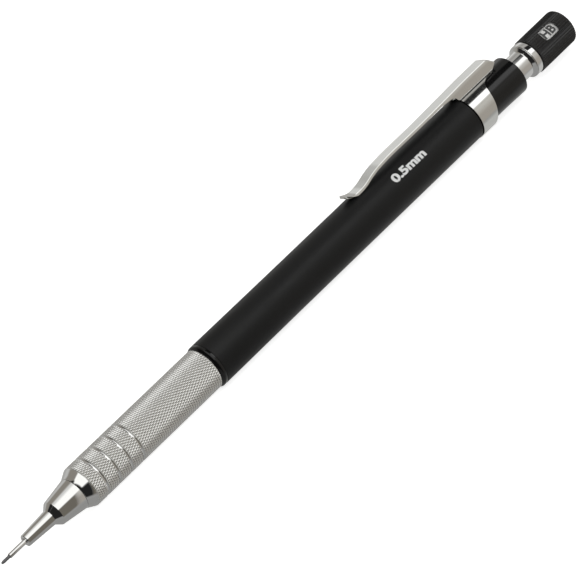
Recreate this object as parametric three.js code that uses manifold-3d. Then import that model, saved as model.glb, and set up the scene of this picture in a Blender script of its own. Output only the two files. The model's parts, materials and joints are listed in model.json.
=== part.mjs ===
// A 0.5 mm drafting pencil: push-to-advance clutch, fixed lead sleeve, metal grip, plastic barrel,
// sprung sheet-metal clip and a ribbed push cap with a lead grade window.
// Millimetres, +Z up. The pencil lies along X with its point toward -X and its clip on top.
// "Station" is the distance along the axis from the point of the lead.
import * as THREE from 'three';
import { mergeVertices } from 'three/addons/utils/BufferGeometryUtils.js';
import Module from 'manifold-3d';

// ---- driving dimensions ----
const LENGTH = 143.8;
const SIDES = 36;
const SMALL_SIDES = 24;
const LEAD_SIDES = 12;
const SEAM = 0.05;
const SLIP = 0.05;

const LEAD_RADIUS = 0.28;
const LEAD_LENGTH = 60;
const SLEEVE_TIP = 1.8;
const SLEEVE_END = 12;
const SLEEVE_RADIUS = 0.44;
const BORE_CLEARANCE = 0.03;

const NOSE_FRONT = 5.5;
const NOSE_FRONT_RADIUS = 1.09;
const FIRST_CONE_END = 11.3;
const FIRST_CONE_RADIUS = 1.43;
const FLARE_END = 12.4;
const FLARE_RADIUS = 2.33;
const NOSE_SEAM = 17.2;
const NOSE_SEAM_RADIUS = 3.02;
const SHANK_RADIUS = 2.62;
const SHANK_END = 24;
const RETAINER_FRONT = 12.6;
const RETAINER_END = 14.3;
const RETAINER_RADIUS = 1.35;
const JAW_CHAMBER_RADIUS = 1.7;
const CLUTCH_STOP = 16.4;
const CLUTCH_CHAMBER_RADIUS = 2.0;

const GRIP_CHAMFER_END = 19.0;
const GRIP_RADIUS = 3.93;
const GRIP_END = 49.25;
const GRIP_STEP = 0.3;
const SHANK_CLEARANCE = 0.1;
const FIRST_GROOVE = 21.35;
const GROOVE_SPACING = 2.87;
const GROOVES = 4;
const GROOVE_WIDTH = 0.4;
const GROOVE_DEPTH = 0.22;
const COLLAR_END = 50.25;
const COLLAR_CHAMFER = 0.35;

const BARREL_FRONT_RADIUS = 4.17;
const BARREL_TAPER_END = 70;
const BARREL_RADIUS = 4.11;
const BARREL_END = 116.8;
const BARREL_EDGE = 0.45;
const BORE_RADIUS = 3.0;
const NECK_RADIUS = 3.6;
const NECK_FLARE_START = 124;
const NECK_END_RADIUS = 3.73;
const NECK_END = 129.3;
const COUPLING_FRONT = 44;
const COUPLING_END = 58;
const COUPLING_BORE = 2.55;
const BUSHING_FRONT = 125;
const BUSHING_INSET = 0.3;
const BUSHING_CLEARANCE = 0.08;

const BAND_RADIUS = 4.25;
const BAND_SHEET = 0.5;
const BAND_SEGMENTS = 30;
const BAND_FRONT = 116.95;
const BAND_REAR = 121.0;
const BAND_SLANT = 0.2;
const BAND_SIDE_TOP = 3.0;
const CLIP_SHEET = 0.42;
const CLIP_WIDTH = 2.8;
const CLIP_TOP = 6.08;
const CLIP_CORNER = 0.45;
const CLIP_SPLIT = 115.65;
const CLIP_GAP = 0.3;
const CLIP_ROOT_TOP = 5.95;
const ROOF_LEVEL_START = 120.5;
const WALL_CLEARANCE = 0.12;
const WALL_FOOT = 3.88;
const WALL_FOOT_FRONT = 123.4;
const WALL_FOOT_END = 125.1;
const STERN_TIP = 126.6;
const STERN_TIP_HEIGHT = 4.6;
const STERN_SLANT = 0.9;

// The upper face of the clip's arm from its root to its lip: station, height above the axis.
const ARM_LINE = [
  [107, 5.74],
  [98, 5.66],
  [96.3, 5.54],
  [94.4, 5.22],
  [92.7, 4.78],
  [91.4, 4.6],
  [90.4, 4.59],
  [89.4, 4.85],
  [88.1, 5.4],
];
const ARM_STEPS = 22;

const JAW_FRONT = 17.0;
const JAW_HEAD_END = 18.8;
const JAW_HEAD_RADIUS = 1.35;
const JAW_NECK_RADIUS = 1.05;
const JAW_END = 26.0;
const JAW_SLIT = 0.15;
const JAWS = 3;
const JAW_ROOT_GAP = 0.3;
const STEM_RADIUS = 1.0;
const STEM_BORE = 0.4;

const SEAT_FRONT = 25.0;
const SEAT_END = 26.0;
const SEAT_BORE = 1.75;
const SPRING_FRONT = 26.1;
const SPRING_END = 38.0;
const SPRING_RADIUS = 2.2;
const SPRING_WIRE = 0.2;
const SPRING_TURNS = 7;
const STEM_END = 37;
const CONNECTOR_FRONT = 31;
const CONNECTOR_RADIUS = 1.7;
const CONNECTOR_BORE = 1.1;
const CONNECTOR_FLANGE = 2.5;
const FLANGE_FRONT = 38.05;
const FLANGE_END = 39.1;
const SPIGOT_END = 43;
const RESERVOIR_RADIUS = 1.9;
const RESERVOIR_BORE = 1.5;
const RESERVOIR_END = 118;
const SPARE_LEAD_FRONT = 56;
const SPARE_LEAD_OFFSET = 0.85;
const SPARE_LEADS = 3;

const PLUNGER_FRONT = 112;
const PLUNGER_RADIUS = 2.54;
const PLUNGER_BORE = 1.96;
const FLANGE_CONE_START = 132.4;
const FLANGE_CONE_END = 132.85;
const CAP_SEAT = 132.95;
const FLANGE_CONE_RADIUS = 3.2;
const TOP_TUBE_RADIUS = 2.3;
const TOP_TUBE_END = 138;
const ERASER_FRONT = 128.5;
const ERASER_END = 140.2;
const ERASER_RADIUS = 1.88;

const RIM_RADIUS = 3.23;
const RIM_END = 134.25;
const DRUM_RADIUS = 2.8;
const DRUM_BORE = 2.4;
const DRUM_END = 141.5;
const CAP_RADIUS = 3.38;
const CAP_BORE = 2.88;
const CAP_BORE_END = 142.5;
const CAP_EDGE = 0.55;
const CAP_CROWN = 0.3;
const CROWN_INSET = 1.4;
const CAP_FRONT_EDGE = 0.15;
const RIBS = 44;
const RIB_DEPTH = 0.14;
const WINDOW_STATION = 138.97;
const WINDOW_LENGTH = 3.6;
const WINDOW_WIDTH = 2.45;
const WINDOW_CORNER = 0.7;
const WINDOW_ANGLE = THREE.MathUtils.degToRad(44.5);
const LENS_INNER = 2.93;
const LENS_OUTER = 3.18;
const LENS_CLEARANCE = 0.1;
const BLOCK_FOOT = 2.2;
const BLOCK_HEIGHT = 3;
const CUT_MARGIN = 1;

// ---- solids ----
const wasm = await Module();
wasm.setup();

function toManifold(geometry) {
  const bare = geometry.clone();
  bare.deleteAttribute('normal');
  bare.deleteAttribute('uv');
  const merged = mergeVertices(bare, 1e-4);
  return new wasm.Manifold(new wasm.Mesh({
    numProp: 3,
    vertProperties: new Float32Array(merged.attributes.position.array),
    triVerts: new Uint32Array(merged.index.array),
  }));
}

function toGeometry(solid) {
  const mesh = solid.getMesh();
  const geometry = new THREE.BufferGeometry();
  geometry.setAttribute('position', new THREE.BufferAttribute(new Float32Array(mesh.vertProperties), 3));
  geometry.setIndex(new THREE.BufferAttribute(new Uint32Array(mesh.triVerts), 1));
  return geometry;
}

// Turns a closed profile of [station, radius] points about the pencil's axis.
// The points run rearward along the outside and forward along the inside.
function turned(profile, sides = SIDES) {
  const closed = profile.map(([station, radius]) => new THREE.Vector2(radius, station));
  if (profile[0][1] > 0) {
    closed.push(closed[0].clone());
  }
  const lathe = new THREE.LatheGeometry(closed, sides, Math.PI / sides);
  return lathe.rotateZ(-Math.PI / 2);
}

// A plain tube between two stations.
function tube(front, end, outer, inner, sides = SIDES) {
  return turned([[front, inner], [front, outer], [end, outer], [end, inner]], sides);
}

// Points on a quarter circle from one [station, radius] corner to another, bulging outward.
function roundedEdge(station, radius, size, steps = 3) {
  return Array.from({ length: steps + 1 }, (_, i) => {
    const turn = (i / steps) * Math.PI / 2;
    return [station - size + size * Math.sin(turn), radius - size + size * Math.cos(turn)];
  });
}

// Extrudes an outline drawn in the Y-Z plane along X, from one station to another.
function alongPencil(shape, front, end) {
  const slab = new THREE.ExtrudeGeometry(shape, {
    depth: end - front,
    bevelEnabled: false,
    curveSegments: 12,
  });
  const basis = new THREE.Matrix4().makeBasis(
    new THREE.Vector3(0, 1, 0),
    new THREE.Vector3(0, 0, 1),
    new THREE.Vector3(1, 0, 0),
  );
  return slab.applyMatrix4(basis).translate(front, 0, 0);
}

// Extrudes an outline drawn in the X-Z plane across Y, centred on the pencil.
function acrossPencil(shape, width) {
  const slab = new THREE.ExtrudeGeometry(shape, {
    depth: width,
    bevelEnabled: false,
    curveSegments: 8,
  });
  const basis = new THREE.Matrix4().makeBasis(
    new THREE.Vector3(1, 0, 0),
    new THREE.Vector3(0, 0, 1),
    new THREE.Vector3(0, -1, 0),
  );
  return slab.applyMatrix4(basis).translate(0, width / 2, 0);
}

// ---- front end ----
function leadGeometry(front) {
  const point = 0.35;
  const tip = LEAD_RADIUS * 0.6;
  return turned([
    [front, 0],
    [front, tip],
    [front + point, LEAD_RADIUS],
    [front + LEAD_LENGTH, LEAD_RADIUS],
    [front + LEAD_LENGTH, 0],
  ], LEAD_SIDES);
}

function leadSleeveGeometry() {
  const bore = LEAD_RADIUS + BORE_CLEARANCE;
  const chamfer = 0.06;
  return turned([
    [SLEEVE_TIP, bore],
    [SLEEVE_TIP, SLEEVE_RADIUS - chamfer],
    [SLEEVE_TIP + 2 * chamfer, SLEEVE_RADIUS],
    [SLEEVE_END, SLEEVE_RADIUS],
    [SLEEVE_END, bore],
  ], LEAD_SIDES);
}

function noseConeGeometry() {
  const sleeveBore = SLEEVE_RADIUS + BORE_CLEARANCE;
  const edge = 0.12;
  const shankChamfer = 0.2;
  return turned([
    [NOSE_FRONT, sleeveBore],
    [NOSE_FRONT, NOSE_FRONT_RADIUS - edge],
    [NOSE_FRONT + edge, NOSE_FRONT_RADIUS],
    [FIRST_CONE_END, FIRST_CONE_RADIUS],
    [FLARE_END, FLARE_RADIUS],
    [NOSE_SEAM, NOSE_SEAM_RADIUS],
    [NOSE_SEAM, SHANK_RADIUS],
    [SHANK_END - shankChamfer, SHANK_RADIUS],
    [SHANK_END, SHANK_RADIUS - shankChamfer],
    [SHANK_END, CLUTCH_CHAMBER_RADIUS],
    [CLUTCH_STOP, CLUTCH_CHAMBER_RADIUS],
    [CLUTCH_STOP, JAW_CHAMBER_RADIUS],
    [RETAINER_END, JAW_CHAMBER_RADIUS],
    [RETAINER_END, RETAINER_RADIUS],
    [RETAINER_FRONT, RETAINER_RADIUS],
    [RETAINER_FRONT, sleeveBore],
  ]);
}

function leadRetainerGeometry() {
  const lip = 0.35;
  return turned([
    [RETAINER_FRONT + SLIP, LEAD_RADIUS + BORE_CLEARANCE],
    [RETAINER_FRONT + SLIP, RETAINER_RADIUS - SLIP],
    [RETAINER_END - SLIP, RETAINER_RADIUS - SLIP],
    [RETAINER_END - SLIP, LEAD_RADIUS + lip],
    [RETAINER_END - lip, LEAD_RADIUS + BORE_CLEARANCE],
  ], SMALL_SIDES);
}

function gripSleeveGeometry() {
  const front = NOSE_SEAM + SEAM;
  const edge = 0.12;
  const outside = [[front, NOSE_SEAM_RADIUS], [GRIP_CHAMFER_END, GRIP_RADIUS]];
  for (let i = 0; i < GROOVES; i += 1) {
    const centre = FIRST_GROOVE + i * GROOVE_SPACING;
    outside.push([centre - GROOVE_WIDTH / 2, GRIP_RADIUS]);
    outside.push([centre - GROOVE_WIDTH / 4, GRIP_RADIUS - GROOVE_DEPTH]);
    outside.push([centre + GROOVE_WIDTH / 4, GRIP_RADIUS - GROOVE_DEPTH]);
    outside.push([centre + GROOVE_WIDTH / 2, GRIP_RADIUS]);
  }
  return turned([
    [front, SHANK_RADIUS + SHANK_CLEARANCE],
    ...outside,
    [GRIP_END - SEAM - edge, GRIP_RADIUS],
    [GRIP_END - SEAM, GRIP_RADIUS - edge],
    [GRIP_END - SEAM, BORE_RADIUS],
    [SHANK_END + GRIP_STEP, BORE_RADIUS],
    [SHANK_END + GRIP_STEP, SHANK_RADIUS + SHANK_CLEARANCE],
  ]);
}

// ---- clutch ----
function clutchRingGeometry() {
  const clearance = 0.1;
  const edge = 0.15;
  const front = JAW_FRONT + clearance;
  const end = JAW_HEAD_END + 3 * clearance;
  const inner = JAW_HEAD_RADIUS + clearance;
  const outer = CLUTCH_CHAMBER_RADIUS - clearance;
  return turned([
    [front, inner],
    [front, outer - edge],
    [front + edge, outer],
    [end, outer],
    [end, inner],
  ], SMALL_SIDES);
}

// One of the collet's jaws: a slice of the turned collet, clear of its neighbours by the slit.
function jawGeometry(index) {
  const bore = LEAD_RADIUS + BORE_CLEARANCE;
  const bevel = 0.3;
  const collet = toManifold(turned([
    [JAW_FRONT, bore],
    [JAW_FRONT, JAW_HEAD_RADIUS - bevel],
    [JAW_FRONT + bevel, JAW_HEAD_RADIUS],
    [JAW_HEAD_END - bevel, JAW_HEAD_RADIUS],
    [JAW_HEAD_END, JAW_NECK_RADIUS],
    [JAW_END, JAW_NECK_RADIUS],
    [JAW_END, bore],
  ], SMALL_SIDES));
  const reach = BARREL_RADIUS;
  const half = Math.PI / JAWS;
  const wedge = new THREE.Shape([
    new THREE.Vector2(0, JAW_SLIT),
    new THREE.Vector2(-reach * Math.sin(half), JAW_SLIT + reach * Math.cos(half)),
    new THREE.Vector2(-reach * Math.sin(half), 2 * reach),
    new THREE.Vector2(reach * Math.sin(half), 2 * reach),
    new THREE.Vector2(reach * Math.sin(half), JAW_SLIT + reach * Math.cos(half)),
  ]);
  const sector = alongPencil(wedge, JAW_FRONT - CUT_MARGIN, JAW_END + CUT_MARGIN);
  const slice = sector.rotateX((index * 2 * Math.PI) / JAWS);
  return toGeometry(collet.intersect(toManifold(slice)));
}

function colletStemGeometry() {
  return tube(JAW_END + JAW_ROOT_GAP, STEM_END, STEM_RADIUS, STEM_BORE, SMALL_SIDES);
}

function reservoirConnectorGeometry() {
  const funnel = 1.5;
  const socket = STEM_RADIUS + SLIP;
  return turned([
    [CONNECTOR_FRONT, socket],
    [CONNECTOR_FRONT, CONNECTOR_RADIUS],
    [FLANGE_FRONT, CONNECTOR_RADIUS],
    [FLANGE_FRONT, CONNECTOR_FLANGE],
    [FLANGE_END, CONNECTOR_FLANGE],
    [FLANGE_END, RESERVOIR_BORE - SLIP],
    [SPIGOT_END, RESERVOIR_BORE - SLIP],
    [SPIGOT_END, CONNECTOR_BORE],
    [STEM_END + funnel, STEM_BORE],
    [STEM_END + SEAM, STEM_BORE],
    [STEM_END + SEAM, socket],
  ], SMALL_SIDES);
}

function reservoirTubeGeometry() {
  return tube(FLANGE_END + SEAM, RESERVOIR_END, RESERVOIR_RADIUS, RESERVOIR_BORE);
}

class Helix extends THREE.Curve {
  getPoint(t, target = new THREE.Vector3()) {
    const angle = t * SPRING_TURNS * 2 * Math.PI;
    const front = SPRING_FRONT + SPRING_WIRE;
    const end = SPRING_END - SPRING_WIRE;
    return target.set(
      front + (end - front) * t,
      SPRING_RADIUS * Math.sin(angle),
      SPRING_RADIUS * Math.cos(angle),
    );
  }
}

function springGeometry() {
  const wire = new THREE.Shape();
  wire.absarc(0, 0, SPRING_WIRE, 0, 2 * Math.PI);
  const stepsPerTurn = 10;
  return new THREE.ExtrudeGeometry(wire, {
    steps: SPRING_TURNS * stepsPerTurn,
    curveSegments: 6,
    extrudePath: new Helix(),
  });
}

// ---- barrel ----
function collarRingGeometry() {
  return turned([
    [GRIP_END, BORE_RADIUS + SLIP],
    [GRIP_END, BARREL_FRONT_RADIUS - COLLAR_CHAMFER],
    [GRIP_END + COLLAR_CHAMFER, BARREL_FRONT_RADIUS],
    [COLLAR_END - SEAM, BARREL_FRONT_RADIUS],
    [COLLAR_END - SEAM, BORE_RADIUS + SLIP],
  ]);
}

function barrelGeometry() {
  const edge = 0.08;
  const neckEdge = 0.2;
  return turned([
    [COLLAR_END, BORE_RADIUS],
    [COLLAR_END, BARREL_FRONT_RADIUS - edge],
    [COLLAR_END + edge, BARREL_FRONT_RADIUS],
    [BARREL_TAPER_END, BARREL_RADIUS],
    ...roundedEdge(BARREL_END, BARREL_RADIUS, BARREL_EDGE),
    [BARREL_END, NECK_RADIUS],
    [NECK_FLARE_START, NECK_RADIUS],
    [NECK_END - neckEdge, NECK_END_RADIUS],
    [NECK_END, NECK_END_RADIUS - neckEdge],
    [NECK_END, BORE_RADIUS],
  ]);
}

function neckBushingGeometry() {
  const bore = PLUNGER_RADIUS + BUSHING_CLEARANCE;
  return tube(BUSHING_FRONT, NECK_END - BUSHING_INSET, BORE_RADIUS - SLIP, bore);
}

// ---- clip ----
// Cross-section of the clip's rear: a band around the neck with a channel standing on it.
function clipSection() {
  const half = CLIP_WIDTH / 2;
  const start = Math.acos(half / BAND_RADIUS);
  const outline = new THREE.Shape();
  outline.moveTo(half, CLIP_TOP - CLIP_CORNER);
  outline.absarc(half - CLIP_CORNER, CLIP_TOP - CLIP_CORNER, CLIP_CORNER, 0, Math.PI / 2);
  outline.absarc(CLIP_CORNER - half, CLIP_TOP - CLIP_CORNER, CLIP_CORNER, Math.PI / 2, Math.PI);
  const sweep = 2 * start + Math.PI;
  for (let i = 0; i <= BAND_SEGMENTS; i += 1) {
    const angle = Math.PI - start + (sweep * i) / BAND_SEGMENTS;
    outline.lineTo(BAND_RADIUS * Math.cos(angle), BAND_RADIUS * Math.sin(angle));
  }
  outline.closePath();
  return outline;
}

// Station of the slanted rear end of the channel at a height above the axis.
function sternStation(height) {
  return STERN_TIP - STERN_SLANT * (height - STERN_TIP_HEIGHT);
}

// Side view of the clip's rear: sloping roof, walls that stand clear of the barrel's shoulder, slanted band
// edge below and slanted end of the channel above, joined by the curved foot of the walls.
function clipRearProfile() {
  const front = CLIP_SPLIT + CLIP_GAP / 2;
  const above = BARREL_RADIUS + WALL_CLEARANCE;
  const below = -BAND_RADIUS - CUT_MARGIN;
  const profile = new THREE.Shape();
  profile.moveTo(front, CLIP_ROOT_TOP);
  profile.lineTo(front, above);
  profile.lineTo(BAND_FRONT, above);
  profile.lineTo(BAND_FRONT, below);
  profile.lineTo(BAND_REAR + BAND_SLANT * below, below);
  profile.lineTo(BAND_REAR + BAND_SLANT * BAND_SIDE_TOP, BAND_SIDE_TOP);
  profile.quadraticCurveTo(BAND_REAR + 2 * BAND_SHEET, WALL_FOOT, WALL_FOOT_FRONT, WALL_FOOT);
  profile.lineTo(WALL_FOOT_END, WALL_FOOT);
  profile.quadraticCurveTo(STERN_TIP - BAND_SHEET, WALL_FOOT, STERN_TIP, STERN_TIP_HEIGHT);
  profile.lineTo(sternStation(CLIP_TOP), CLIP_TOP);
  profile.lineTo(ROOF_LEVEL_START, CLIP_TOP);
  return profile;
}

// The room inside the channel, one sheet below the roof and one sheet ahead of the slanted end.
function channelProfile() {
  const front = CLIP_SPLIT - CUT_MARGIN;
  const inset = CLIP_SHEET * Math.hypot(1, STERN_SLANT);
  const profile = new THREE.Shape();
  profile.moveTo(front, 0);
  profile.lineTo(sternStation(STERN_TIP_HEIGHT) - inset, 0);
  profile.lineTo(sternStation(STERN_TIP_HEIGHT) - inset, STERN_TIP_HEIGHT);
  profile.lineTo(sternStation(CLIP_TOP - CLIP_SHEET) - inset, CLIP_TOP - CLIP_SHEET);
  profile.lineTo(ROOF_LEVEL_START, CLIP_TOP - CLIP_SHEET);
  profile.lineTo(CLIP_SPLIT, CLIP_ROOT_TOP - CLIP_SHEET);
  profile.lineTo(front, CLIP_ROOT_TOP - CLIP_SHEET);
  return profile;
}

function clipMountGeometry() {
  const front = CLIP_SPLIT - CUT_MARGIN;
  const end = STERN_TIP + CUT_MARGIN;
  const body = toManifold(alongPencil(clipSection(), front, end));
  const silhouette = toManifold(acrossPencil(clipRearProfile(), 3 * BAND_RADIUS));
  const bore = toManifold(turned([
    [front, 0],
    [front, BAND_RADIUS - BAND_SHEET],
    [end, BAND_RADIUS - BAND_SHEET],
    [end, 0],
  ]));
  const hollow = toManifold(acrossPencil(channelProfile(), CLIP_WIDTH - 2 * CLIP_SHEET));
  return toGeometry(body.intersect(silhouette).subtract(bore).subtract(hollow));
}

// The arm is a bent strip: its upper face follows the arm line, the lower one is a sheet below.
function clipArmGeometry() {
  const root = CLIP_SPLIT - CLIP_GAP / 2;
  const line = new THREE.CatmullRomCurve3(ARM_LINE.map(([x, z]) => new THREE.Vector3(x, z, 0)));
  const upper = [new THREE.Vector2(root, CLIP_ROOT_TOP)];
  const lower = [new THREE.Vector2(root, CLIP_ROOT_TOP - CLIP_SHEET)];
  for (let i = 0; i <= ARM_STEPS; i += 1) {
    const point = line.getPointAt(i / ARM_STEPS);
    const tangent = line.getTangentAt(i / ARM_STEPS);
    upper.push(new THREE.Vector2(point.x, point.y));
    lower.push(new THREE.Vector2(point.x - tangent.y * CLIP_SHEET, point.y + tangent.x * CLIP_SHEET));
  }
  return acrossPencil(new THREE.Shape([...upper, ...lower.reverse()]), CLIP_WIDTH);
}

// ---- push mechanism and cap ----
function plungerTubeGeometry() {
  return turned([
    [PLUNGER_FRONT, PLUNGER_BORE],
    [PLUNGER_FRONT, PLUNGER_RADIUS],
    [FLANGE_CONE_START, PLUNGER_RADIUS],
    [FLANGE_CONE_END, FLANGE_CONE_RADIUS],
    [CAP_SEAT, FLANGE_CONE_RADIUS],
    [CAP_SEAT, TOP_TUBE_RADIUS],
    [TOP_TUBE_END, TOP_TUBE_RADIUS],
    [TOP_TUBE_END, PLUNGER_BORE],
  ]);
}

function eraserGeometry() {
  const edge = 0.3;
  return turned([
    [ERASER_FRONT, 0],
    [ERASER_FRONT, ERASER_RADIUS],
    [ERASER_END - edge, ERASER_RADIUS],
    [ERASER_END, ERASER_RADIUS - edge],
    [ERASER_END, 0],
  ], SMALL_SIDES);
}

function rimRingGeometry() {
  const edge = 0.1;
  return turned([
    [CAP_SEAT + SEAM, DRUM_BORE],
    [CAP_SEAT + SEAM, RIM_RADIUS - edge],
    [CAP_SEAT + SEAM + edge, RIM_RADIUS],
    [RIM_END - edge, RIM_RADIUS],
    [RIM_END, RIM_RADIUS - edge],
    [RIM_END, DRUM_BORE],
  ]);
}

function windowOutline(clearance) {
  const x = WINDOW_LENGTH / 2 - clearance;
  const y = WINDOW_WIDTH / 2 - clearance;
  const corner = WINDOW_CORNER - clearance;
  const outline = new THREE.Shape();
  outline.moveTo(x, corner - y);
  outline.absarc(x - corner, y - corner, corner, 0, Math.PI / 2);
  outline.absarc(corner - x, y - corner, corner, Math.PI / 2, Math.PI);
  outline.absarc(corner - x, corner - y, corner, Math.PI, 1.5 * Math.PI);
  outline.absarc(x - corner, corner - y, corner, 1.5 * Math.PI, 2 * Math.PI);
  return outline;
}

// A block standing on the cap's side at the window, as long and wide as the window less a clearance.
function windowBlock(clearance) {
  const block = new THREE.ExtrudeGeometry(windowOutline(clearance), {
    depth: BLOCK_HEIGHT,
    bevelEnabled: false,
    curveSegments: 4,
  });
  const sin = Math.sin(WINDOW_ANGLE);
  const cos = Math.cos(WINDOW_ANGLE);
  const basis = new THREE.Matrix4().makeBasis(
    new THREE.Vector3(1, 0, 0),
    new THREE.Vector3(0, cos, sin),
    new THREE.Vector3(0, -sin, cos),
  );
  return block.applyMatrix4(basis).translate(WINDOW_STATION, -sin * BLOCK_FOOT, cos * BLOCK_FOOT);
}

function capShellGeometry() {
  const front = RIM_END + SEAM;
  const rim = LENGTH - CAP_CROWN;
  const ribs = new THREE.Shape(Array.from({ length: 2 * RIBS }, (_, i) => {
    const radius = CAP_RADIUS - (i % 2) * RIB_DEPTH;
    const angle = (i * Math.PI) / RIBS;
    return new THREE.Vector2(radius * Math.cos(angle), radius * Math.sin(angle));
  }));
  const outer = CAP_RADIUS + SEAM;
  const skin = toManifold(turned([
    [front, 0],
    [front, outer - CAP_FRONT_EDGE],
    [front + CAP_FRONT_EDGE, outer],
    ...roundedEdge(rim, outer, CAP_EDGE),
    [LENGTH, CAP_RADIUS - CROWN_INSET],
    [LENGTH, 0],
  ]));
  const bore = toManifold(turned([
    [front - CUT_MARGIN, 0],
    [front - CUT_MARGIN, CAP_BORE],
    [CAP_BORE_END, CAP_BORE],
    [CAP_BORE_END, 0],
  ]));
  const ribbed = toManifold(alongPencil(ribs, front - CUT_MARGIN, LENGTH + CUT_MARGIN)).intersect(skin);
  return toGeometry(ribbed.subtract(bore).subtract(toManifold(windowBlock(0))));
}

function windowLensGeometry() {
  const front = WINDOW_STATION - WINDOW_LENGTH;
  const end = WINDOW_STATION + WINDOW_LENGTH;
  const wall = toManifold(tube(front, end, LENS_OUTER, LENS_INNER));
  return toGeometry(wall.intersect(toManifold(windowBlock(LENS_CLEARANCE))));
}

// ---- materials ----
function material(color, roughness, metalness) {
  return new THREE.MeshStandardMaterial({ color, roughness, metalness });
}

const looks = {
  blackPlastic: () => material(0x1a1b1c, 0.35, 0),
  glossBlack: () => material(0x111112, 0.2, 0),
  chrome: () => material(0xd9dadb, 0.12, 1),
  satinSteel: () => material(0xb9b9b6, 0.32, 1),
  knurledSteel: () => material(0xa9a9a7, 0.38, 1),
  brass: () => material(0xb5975a, 0.35, 1),
  springSteel: () => material(0x9a9c9f, 0.3, 1),
  graphite: () => material(0x3a3a3c, 0.6, 0.1),
  rubber: () => material(0x2a2a2a, 0.8, 0),
  whitePlastic: () => material(0xf2f2ee, 0.4, 0),
  clearPlastic: () => material(0xe6ecef, 0.1, 0),
  eraserWhite: () => material(0xf4f3ee, 0.85, 0),
};

// ---- assembly ----
const pencil = new THREE.Group();
pencil.position.set(-LENGTH / 2, 0, BAND_RADIUS);

function add(name, geometry, look) {
  const mesh = new THREE.Mesh(geometry, looks[look]());
  mesh.name = name;
  pencil.add(mesh);
  return mesh;
}

add('writing_lead', leadGeometry(0), 'graphite');
add('lead_sleeve', leadSleeveGeometry(), 'satinSteel');
add('nose_cone', noseConeGeometry(), 'chrome');
add('lead_retainer', leadRetainerGeometry(), 'rubber');
add('grip_sleeve', gripSleeveGeometry(), 'knurledSteel');
add('collar_ring', collarRingGeometry(), 'glossBlack');
add('barrel', barrelGeometry(), 'blackPlastic');
add('threaded_coupling', tube(COUPLING_FRONT, COUPLING_END, BORE_RADIUS - SLIP, COUPLING_BORE), 'brass');
add('neck_bushing', neckBushingGeometry(), 'blackPlastic');
add('clip_mount', clipMountGeometry(), 'satinSteel');
add('clip_arm', clipArmGeometry(), 'satinSteel');

add('clutch_ring', clutchRingGeometry(), 'brass');
for (let i = 0; i < JAWS; i += 1) {
  add(`collet_jaw_${i + 1}`, jawGeometry(i), 'brass');
}
add('collet_stem', colletStemGeometry(), 'brass');
add('spring_seat', tube(SEAT_FRONT, SEAT_END, BORE_RADIUS - SLIP, SEAT_BORE), 'brass');
add('main_spring', springGeometry(), 'springSteel');
add('reservoir_connector', reservoirConnectorGeometry(), 'brass');
add('reservoir_tube', reservoirTubeGeometry(), 'clearPlastic');
for (let i = 0; i < SPARE_LEADS; i += 1) {
  const angle = (i * 2 * Math.PI) / SPARE_LEADS;
  const lead = add(`spare_lead_${i + 1}`, leadGeometry(SPARE_LEAD_FRONT), 'graphite');
  lead.position.set(0, SPARE_LEAD_OFFSET * Math.sin(angle), SPARE_LEAD_OFFSET * Math.cos(angle));
}

add('plunger_tube', plungerTubeGeometry(), 'chrome');
add('eraser', eraserGeometry(), 'eraserWhite');
add('rim_ring', rimRingGeometry(), 'chrome');
add('grade_drum', tube(RIM_END + 2 * SEAM, DRUM_END, DRUM_RADIUS, DRUM_BORE), 'whitePlastic');
add('cap_shell', capShellGeometry(), 'blackPlastic');
add('window_lens', windowLensGeometry(), 'clearPlastic');

export default pencil;
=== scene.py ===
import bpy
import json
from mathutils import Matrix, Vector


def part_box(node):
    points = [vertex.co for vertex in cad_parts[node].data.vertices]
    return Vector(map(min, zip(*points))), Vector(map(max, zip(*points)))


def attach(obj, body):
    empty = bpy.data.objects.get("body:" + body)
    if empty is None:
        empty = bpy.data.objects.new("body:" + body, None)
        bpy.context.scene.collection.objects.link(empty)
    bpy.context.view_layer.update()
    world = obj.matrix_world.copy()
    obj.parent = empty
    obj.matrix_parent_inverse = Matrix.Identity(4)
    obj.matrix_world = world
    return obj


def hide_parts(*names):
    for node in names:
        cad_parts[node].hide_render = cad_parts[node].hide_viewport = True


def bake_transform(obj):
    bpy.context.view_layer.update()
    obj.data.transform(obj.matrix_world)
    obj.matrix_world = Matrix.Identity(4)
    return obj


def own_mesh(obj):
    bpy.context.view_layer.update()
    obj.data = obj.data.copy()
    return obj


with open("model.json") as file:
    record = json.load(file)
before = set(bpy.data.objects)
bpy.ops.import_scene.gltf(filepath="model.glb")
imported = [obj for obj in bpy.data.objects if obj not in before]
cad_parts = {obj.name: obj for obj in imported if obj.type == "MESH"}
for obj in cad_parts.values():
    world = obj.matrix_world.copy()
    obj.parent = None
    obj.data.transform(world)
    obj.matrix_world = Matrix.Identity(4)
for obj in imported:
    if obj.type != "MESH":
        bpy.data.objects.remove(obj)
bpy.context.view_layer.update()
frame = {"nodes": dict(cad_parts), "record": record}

import json
import math

import bmesh
import bpy
from mathutils import Matrix, Vector

# ---- lengths: millimetres along the axis from the lead's point (stations), and radii from the axis ----
MM = 0.001
POINT_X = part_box("writing_lead")[0][0]
AXIS_Z = (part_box("grip_sleeve")[0][2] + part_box("grip_sleeve")[1][2]) / 2
SMOOTH_SIDES = 144
EDGE = 0.06

LEAD_RADIUS, SLEEVE_RADIUS = 0.28, 0.44
NOSE_FRONT, NOSE_SEAM, NOSE_SEAM_RADIUS = 5.5, 17.2, 3.02

GRIP_RADIUS = 3.93
GRIP_FRONT, GRIP_KNURL, GRIP_END = 17.25, 19.0, 49.2
GROOVES = [21.35, 24.22, 27.09, 29.96]
GROOVE_HALF, GROOVE_SIDE, GROOVE_DEPTH = 0.22, 0.1, 0.16
KNURL_STARTS = 48
KNURL_SIDES = 4 * KNURL_STARTS
KNURL_PITCH = 0.96
KNURL_DEPTH = 0.12
KNURL_CUT = 0.02

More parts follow.
